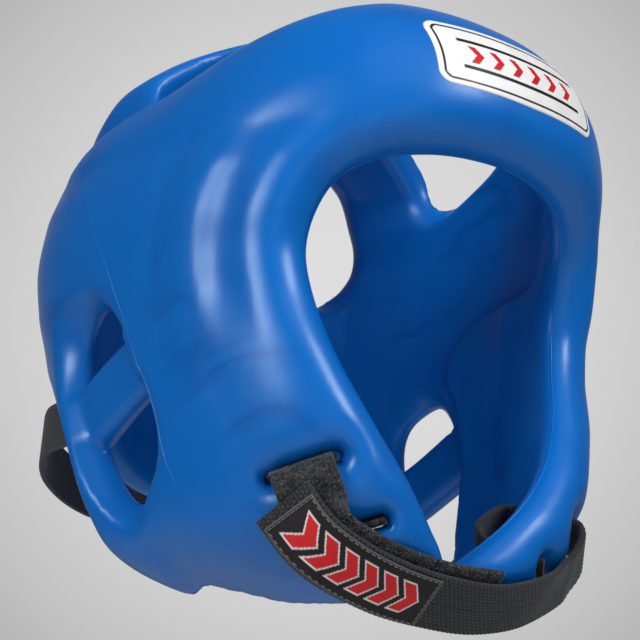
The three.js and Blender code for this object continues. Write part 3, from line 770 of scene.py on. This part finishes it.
def pileGround(s, u):                    # lumpy bed under the pile
    tall, base = 0.12, 0.1
    lump = np.sin(1.9 * s + 2.3 * np.sin(1.3 * u)) * np.sin(2.2 * u + 1.7 * np.sin(1.1 * s))
    return tall * lump + base


def elasticRibs(s, u):                   # fine cords along the band with a cross pull
    cord, pull = 1.5, 1.6
    which = np.floor(u / cord) % 2
    ribs = 0.12 * np.abs(np.cos(np.pi * u / cord)) ** 0.6
    return ribs + 0.07 * np.cos(2 * np.pi * (s / pull + 0.5 * which))


webbingSkin = {
    "glintFleckSize": 900, "glintFleck": (0.55, 1.7), "wearSize": 45, "wear": (0.8, 1.25),
    "grainSize": 2600, "grainDepth": 0.00012, "roughness": 0.78,
}
greyRamp = [(0, (0, 0, 0)), (1, (1, 1, 1))]


def webbingMaterial(look):
    p = Paint("black webbing")
    tone = p.node("ShaderNodeVertexColor", layer_name="tone").outputs["Color"]
    # painted glints: fine noise makes flecks of thread lighter and others darker, as if catching the light;
    # the wear noise varies the tone at random
    glintFleck = p.range(p.noise(look["glintFleckSize"], 2, 0.7), 0.35, 0.75, *look["glintFleck"])
    wear = p.range(p.noise(look["wearSize"], 3, 0.6), *noiseSpan, *look["wear"])
    tone = p.mix(1.0, tone, p.ramp(p.math("MULTIPLY", glintFleck, wear), greyRamp), "MULTIPLY")
    tone = p.mix(1.0, tone, tone, "ADD")             # twice as light again
    normal = p.bumpFrom(p.noise(look["grainSize"], 2, 0.7), look["grainDepth"], 0.6)
    return p.shade(Base_Color=tone, Roughness=look["roughness"], Normal=normal, Specular_IOR_Level=0.35,
                   Sheen_Weight=0.18, Sheen_Roughness=0.45, Sheen_Tint=(0.75, 0.78, 0.85, 1))


webbing = webbingMaterial(webbingSkin)
hookRoute = asRoute(chinStations(0, 7, 1) + slotStations(1))
loopRoute = asRoute(slotStations(-1)[::-1] + chinStations(1, 5, -1))
rearPoints = [(-x, y, z) for x, y, z in rearStrap["half"]] + rearStrap["half"][-2::-1]
rearRoute = asRoute([(point, (0, 0, -1.0), 0.0) for point in rearPoints])


def strapMesh(frames, look, columns, relief, selvedge):
    verts, faces, raised = ribbonMesh(frames, look["width"], look["thick"], columns, relief, selvedge)
    # painted shade in the hollows of the weave and painted highlight on the raised threads: the tone follows
    # the relief
    return verts, faces, np.array(look["tone"]) * (0.15 + 2.2 * raised)


def finishStrap(name, node, parts):
    verts, faces, tones = joined(*parts)
    piece = makePiece(name, verts, faces, webbing)
    paintTones(piece, tones)
    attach(piece, "root")
    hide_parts(node)
    print(name + ":", len(faces), "faces")


def fuzz(frames, look, count):           # short arched pile threads on the outer side
    row = rng.integers(1, len(frames["along"]) - 1, count)
    u = rng.uniform(-1, 1, count) * look["width"] / 2
    foot = frames["line"][row] + frames["side"][row] * u[:, None] + frames["face"][row] * (look["thick"] / 2)
    spin = rng.uniform(0, 2 * np.pi, count)
    lean = frames["side"][row] * np.cos(spin)[:, None] + frames["run"][row] * np.sin(spin)[:, None]
    tall, wide = rng.uniform(*look["fibreTall"], count), rng.uniform(*look["fibreWide"], count)
    t = np.linspace(0, 1, 5)
    reach = lean[:, None] * (wide[:, None] * t)[..., None]
    arch = tall[:, None] * np.sin(np.pi * t) - sunkEnds
    return foot[:, None] + reach + frames["face"][row][:, None] * arch[..., None]


def buildHookLayer(look):
    spacing, columns, selvedge = look["hookMesh"]
    frames = ribbonFrames(hookRoute, spacing)
    finishStrap("chinStrapHook", "chin_strap_hook", [strapMesh(frames, look, columns, ribWeave, selvedge)])


def buildLoopLayer(look):
    spacing, columns, selvedge = look["loopMesh"]
    frames = ribbonFrames(loopRoute, spacing)
    verts, faces = tubeMesh(fuzz(frames, look, look["fibres"]), look["fibreRadius"], 3)
    # painted glints: each pile fibre gets a random tone, the lighter ones standing in for fibres catching the
    # light
    shade = np.repeat(rng.uniform(*look["fibreGlintTone"], look["fibres"]) ** 1.5, len(verts) // look["fibres"])
    finishStrap("chinStrapLoop", "chin_strap_loop", [
        strapMesh(frames, look, columns, pileGround, selvedge),
        (verts, faces, shade[:, None] * np.array(look["fuzz"]))])


def buildRearStrap(look):
    spacing, columns, selvedge = look["mesh"]
    frames = ribbonFrames(rearRoute, spacing)
    last = len(frames["along"]) - 1
    ends = [*look["seamRows"], *(last - row for row in look["seamRows"][::-1])]
    across = np.arange(-look["seamHalf"], look["seamHalf"] + 0.5, look["seamPitch"])
    row, u = np.repeat(ends, len(across)), np.tile(across, len(ends))
    outward, side = -frames["face"][row], frames["side"][row]
    seat = frames["line"][row] + side * u[:, None] + outward * (look["thick"] / 2 + look["seamLift"])
    threads = stitchRow(seat, outward, side, look["threadLength"], look["threadBulge"])
    finishStrap("rearStrap", "rear_strap", [
        strapMesh(frames, look, columns, elasticRibs, selvedge),
        (*tubeMesh(threads, look["threadRadius"], threadSides), look["thread"])])


buildHookLayer(chinStrap)
buildLoopLayer(chinStrap)
buildRearStrap(rearStrap)


# Woven patch on the hook layer: bordered, with a row of red chevrons outlined in white.
chinLabel = {
    "width": 20, "thick": 0.6, "first": 1 / 64, "last": 12 / 64, "lift": 2.2, "spacing": 0.3, "columns": 66,
    "ground": (0.016, 0.014, 0.016), "red": (0.62, 0.018, 0.022), "white": (0.72, 0.70, 0.70),
    "motifs": 6, "inset": 5.0, "tall": 5.6, "bar": 2.3, "slant": 0.7, "outline": 0.6,
    "edge": (0.09, 0.09, 0.10), "edgeWidth": 0.7, "bevel": 0.3,
    "stitch": (0.24, 0.24, 0.25), "stitchLength": 1.5, "stitchBulge": 0.22, "stitchRadius": 0.13,
    "endRow": 4, "endFrom": 1.2, "endTo": 0.8, "endPitch": 1.9,
    "sideInset": 1.0, "sideFirst": 10, "sidePitch": 8,
    "roughness": 0.7, "sheen": 0.12, "grainSize": 2400,
}
patchWear = {"wornSize": 60, "worn": (0.86, 1.0), "glossSize": 90, "glossSpread": 0.05, "grainDepth": 0.00008}


def motifDistance(s, u, look, length):   # below zero inside a chevron
    pitch = (length - 2 * look["inset"]) / look["motifs"]
    best = np.full(s.shape, farOff)
    for k in range(look["motifs"]):
        x = s - look["inset"] - pitch * (k + 0.5) + look["slant"] * np.abs(u)
        band = np.abs(x - look["slant"] * look["tall"] / 2) - look["bar"]
        best = np.minimum(best, np.maximum(band, np.abs(u) - look["tall"]))
    return best


def patchTones(s, u, look):
    length = s.max()
    d = motifDistance(s, u, look, length)[..., None]
    tone = np.broadcast_to(np.array(look["ground"]), s.shape + (3,))
    tone = np.where(d < look["outline"], look["white"], tone)
    tone = np.where(d < 0, look["red"], tone)
    rim = np.minimum(np.minimum(s, length - s), look["width"] / 2 - np.abs(u))[..., None]
    return np.where(rim < look["edgeWidth"], look["edge"], tone)


def fineWeave(s, u):
    pitch, tall = 0.9, 0.035
    return tall * np.cos(2 * np.pi * s / pitch) * np.cos(2 * np.pi * u / pitch)


def patchMaterial(name, look):
    p = Paint(name)
    tone = p.node("ShaderNodeVertexColor", layer_name="tone").outputs["Color"]
    worn = p.range(p.noise(patchWear["wornSize"], 3, 0.6), *noiseSpan, *patchWear["worn"])
    tone = p.mix(1.0, tone, p.ramp(worn, greyRamp), "MULTIPLY")
    rough, spread = look["roughness"], patchWear["glossSpread"]
    gloss = p.range(p.noise(patchWear["glossSize"], 2), *noiseSpan, rough - spread, rough + spread)
    normal = p.bumpFrom(p.noise(look["grainSize"], 2, 0.6), patchWear["grainDepth"], 0.5)
    return p.shade(Base_Color=tone, Roughness=gloss, Normal=normal,
                   Specular_IOR_Level=0.3, Sheen_Weight=look["sheen"], Sheen_Roughness=0.4)


def buildChinLabel(look):
    frames = ribbonFrames(hookRoute, look["spacing"], look["lift"], look["first"], look["last"])
    half, columns = look["width"] / 2, look["columns"]
    verts, faces, _ = ribbonMesh(frames, look["width"], look["thick"], columns, fineWeave, edge=look["bevel"])
    u = np.linspace(-1, 1, columns + 1) * half
    s, across = np.meshgrid(frames["along"], np.concatenate([u, u[-2:0:-1]]), indexing="ij")
    tones = patchTones(s, across, look).reshape(-1, 3)
    last = len(frames["along"]) - 1
    marks = []
    for row in (look["endRow"], last - look["endRow"]):              # a seam across each end
        for w in np.arange(-half + look["endFrom"], half - look["endTo"], look["endPitch"]):
            marks.append((row, w, 1))
    for w in (-half + look["sideInset"], half - look["sideInset"]):  # and along both edges
        for row in range(look["sideFirst"], last - look["sidePitch"], look["sidePitch"]):
            marks.append((row, w, 0))
    row, w, crossWise = (np.array(q) for q in zip(*marks))
    seat = frames["line"][row] + frames["side"][row] * w[:, None] + frames["face"][row] * (look["thick"] / 2)
    run = np.where(crossWise[:, None] == 1, frames["side"][row], frames["run"][row])
    threads = stitchRow(seat, frames["face"][row], run, look["stitchLength"], look["stitchBulge"])
    stitches = tubeMesh(threads, look["stitchRadius"], threadSides)
    verts, faces, stitchTones = joined((verts, faces, (0, 0, 0)), (*stitches, look["stitch"]))
    stitchTones[:len(tones)] = tones
    piece = makePiece("chinLabel", verts, faces, patchMaterial("woven patch", look))
    paintTones(piece, stitchTones)
    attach(piece, "root")
    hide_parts("chin_label")
    print("chin label:", len(faces), "faces, length", round(float(frames["along"][-1]), 1), "mm")


buildChinLabel(chinLabel)


# Printed patch on the forehead: white film with a thin border, stripes and chevrons.
browLabel = {
    "halfWidth": 37, "bottom": 16.5, "top": 43.5, "corner": 5, "cell": 0.28, "thick": 0.35,
    "seatGap": 0.03, "filmGap": 0.06, "roundEdge": 0.5,
    "startY": -150.0, "reach": 110,      # it is laid on from the front, along +Y
    "white": (0.86, 0.86, 0.86), "black": (0.012, 0.012, 0.014), "red": (0.60, 0.012, 0.018),
    "borderIn": 2.3, "borderHalf": 0.42, "stripeZ": 5.6, "stripeHalf": 0.8, "stripeReach": 28,
    "motifPitch": 8.66, "motifTip": 5.4, "motifSlant": 0.8,
    "motifHalf": 1.5, "motifTall": 3.4, "motifReach": 26,
    "roughness": 0.36, "sheen": 0.0, "grainSize": 900,
}


def boxDistance(x, z, halfWidth, halfHeight, corner):
    a, b = np.abs(x) - halfWidth + corner, np.abs(z) - halfHeight + corner
    return np.hypot(np.maximum(a, 0), np.maximum(b, 0)) + np.minimum(np.maximum(a, b), 0) - corner


def browTones(x, z, look):
    halfHeight = (look["top"] - look["bottom"]) / 2
    z = z - (look["top"] + look["bottom"]) / 2
    edge = boxDistance(x, z, look["halfWidth"], halfHeight, look["corner"])
    tone = np.broadcast_to(np.array(look["white"]), x.shape + (3,))
    border = np.abs(edge + look["borderIn"]) - look["borderHalf"]
    stripe = np.minimum(np.abs(z - look["stripeZ"]), np.abs(z + look["stripeZ"])) - look["stripeHalf"]
    stripes = np.maximum(stripe, np.abs(x) - look["stripeReach"])
    along = (x + look["motifReach"]) % look["motifPitch"] - look["motifTip"] + np.abs(z) * look["motifSlant"]
    chevron = np.maximum(np.abs(along) - look["motifHalf"], np.abs(z) - look["motifTall"])
    chevrons = np.maximum(chevron, np.abs(x) - look["motifReach"])
    tone = np.where((np.minimum(border, stripes) < 0)[..., None], look["black"], tone)
    return np.where((chevrons < 0)[..., None], look["red"], tone)


def buildBrowLabel(look):
    mid, halfHeight = (look["top"] + look["bottom"]) / 2, (look["top"] - look["bottom"]) / 2
    r = look["corner"]
    rows, columns = int(2 * halfHeight / look["cell"]), int(2 * look["halfWidth"] / look["cell"])
    v = np.linspace(-halfHeight, halfHeight, rows + 1)
    intoCorner = np.maximum(0, np.abs(v) - halfHeight + r)
    half = look["halfWidth"] - r + np.sqrt(np.maximum(0, r**2 - intoCorner**2))
    x = np.linspace(-1, 1, columns + 1)[None, :] * half[:, None]
    z = np.broadcast_to(mid + v[:, None], x.shape)
    start = np.stack([x.ravel(), np.full(x.size, look["startY"]), z.ravel()], -1)
    seat, hit = landOn(start, (0, 1, 0), look["reach"])
    out = unit(fieldSlope(seat))
    edge = -boxDistance(x, z - mid, look["halfWidth"], halfHeight, r).ravel()
    film = look["thick"] * np.sqrt(np.clip(edge / look["roundEdge"], 0, 1))
    top = seat + out * (look["filmGap"] + film)[:, None]
    under = seat + out * look["seatGap"]
    n = columns + 1
    i, j = np.meshgrid(np.arange(rows), np.arange(columns), indexing="ij")
    a = (i * n + j).ravel()
    upper = np.stack([a, a + 1, a + n + 1, a + n], -1)
    lower = upper[:, ::-1] + len(top)
    loop = np.concatenate([np.arange(n), np.arange(1, rows + 1) * n + columns,
                           rows * n + np.arange(columns - 1, -1, -1), np.arange(rows - 1, 0, -1) * n])
    ahead = np.roll(loop, -1)
    wall = np.stack([loop, loop + len(top), ahead + len(top), ahead], -1)
    tones = browTones(x, z, look).reshape(-1, 3)
    piece = makePiece("browLabel", np.vstack([top, under]), np.vstack([upper, lower, wall]),
                      patchMaterial("printed film", look))
    paintTones(piece, np.vstack([tones, tones]))
    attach(piece, "root")
    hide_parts("brow_label")
    print("brow label:", len(upper), "quads, landed", int(hit.sum()), "of", hit.size)


buildBrowLabel(browLabel)


# Studio: pale floor far below, soft light and a pale surround.
studio = {
    "floorZ": -0.75, "floorSize": 9, "floorTone": (0.62, 0.62, 0.61), "floorPatch": (0.58, 0.58, 0.57),
    # surround: bright patch behind the guard as the camera sees it, dim everywhere else
    "glowAt": (0.599, 0.753, 0.272),
    "glow": [(0.0, 0.08), (0.70, 0.08), (0.90, 0.22), (0.984, 0.47), (0.995, 0.66), (1.0, 0.73)],
    "aim": (0, 0, -0.05),
    # name, place, size, watts, seen in the gloss
    "lamps": [
        ("keyLamp", (-1.32, -0.15, 0.32), 0.5, 8, True),
        ("frontLamp", (0.20, -1.00, 0.70), 0.4, 6, True),
        ("topLamp", (-0.35, -0.80, 1.20), 1.2, 11, False),
        ("lowFill", (-0.60, -1.20, -0.25), 1.0, 4.5, False),
        ("backFill", (0.85, 1.15, 1.00), 1.4, 16, False),
    ],
}


def buildStudio(look):
    p = Paint("pale floor")
    patchy = p.range(p.noise(3, 2), *noiseSpan, 0, 0.1)
    p.shade(Base_Color=p.mix(patchy, look["floorTone"], look["floorPatch"]), Roughness=0.8)
    half, z = look["floorSize"] / 2 / mm, look["floorZ"] / mm
    corners = [(-half, -half, z), (half, -half, z), (half, half, z), (-half, half, z)]
    floor = makePiece("floor", corners, [(0, 1, 2, 3)], p.material)
    world = bpy.data.worlds.new("surround")
    scene.world = world
    world.use_nodes = True
    nodes, links = world.node_tree.nodes, world.node_tree.links
    way = nodes.new("ShaderNodeTexCoord").outputs["Generated"]
    toGlow = nodes.new("ShaderNodeVectorMath")
    toGlow.operation = "DOT_PRODUCT"
    toGlow.inputs[1].default_value = look["glowAt"]
    tone = nodes.new("ShaderNodeValToRGB")
    points = tone.color_ramp.elements
    while len(points) < len(look["glow"]):
        points.new(0.5)
    for point, (place, grey) in zip(points, look["glow"]):
        point.position, point.color = place, (grey, grey, grey, 1)
    links.new(way, toGlow.inputs[0])
    links.new(toGlow.outputs["Value"], tone.inputs["Fac"])
    links.new(tone.outputs["Color"], nodes["Background"].inputs["Color"])
    for name, place, size, watts, gloss in look["lamps"]:
        data = bpy.data.lights.new(name, "AREA")
        data.shape, data.size, data.energy = "DISK", size, watts
        lamp = bpy.data.objects.new(name, data)
        scene.collection.objects.link(lamp)
        lamp.location = place
        lamp.visible_glossy = gloss
        lamp.rotation_euler = (Vector(look["aim"]) - Vector(place)).to_track_quat("-Z", "Y").to_euler()
    scene.view_settings.view_transform = "Standard"


buildStudio(studio)
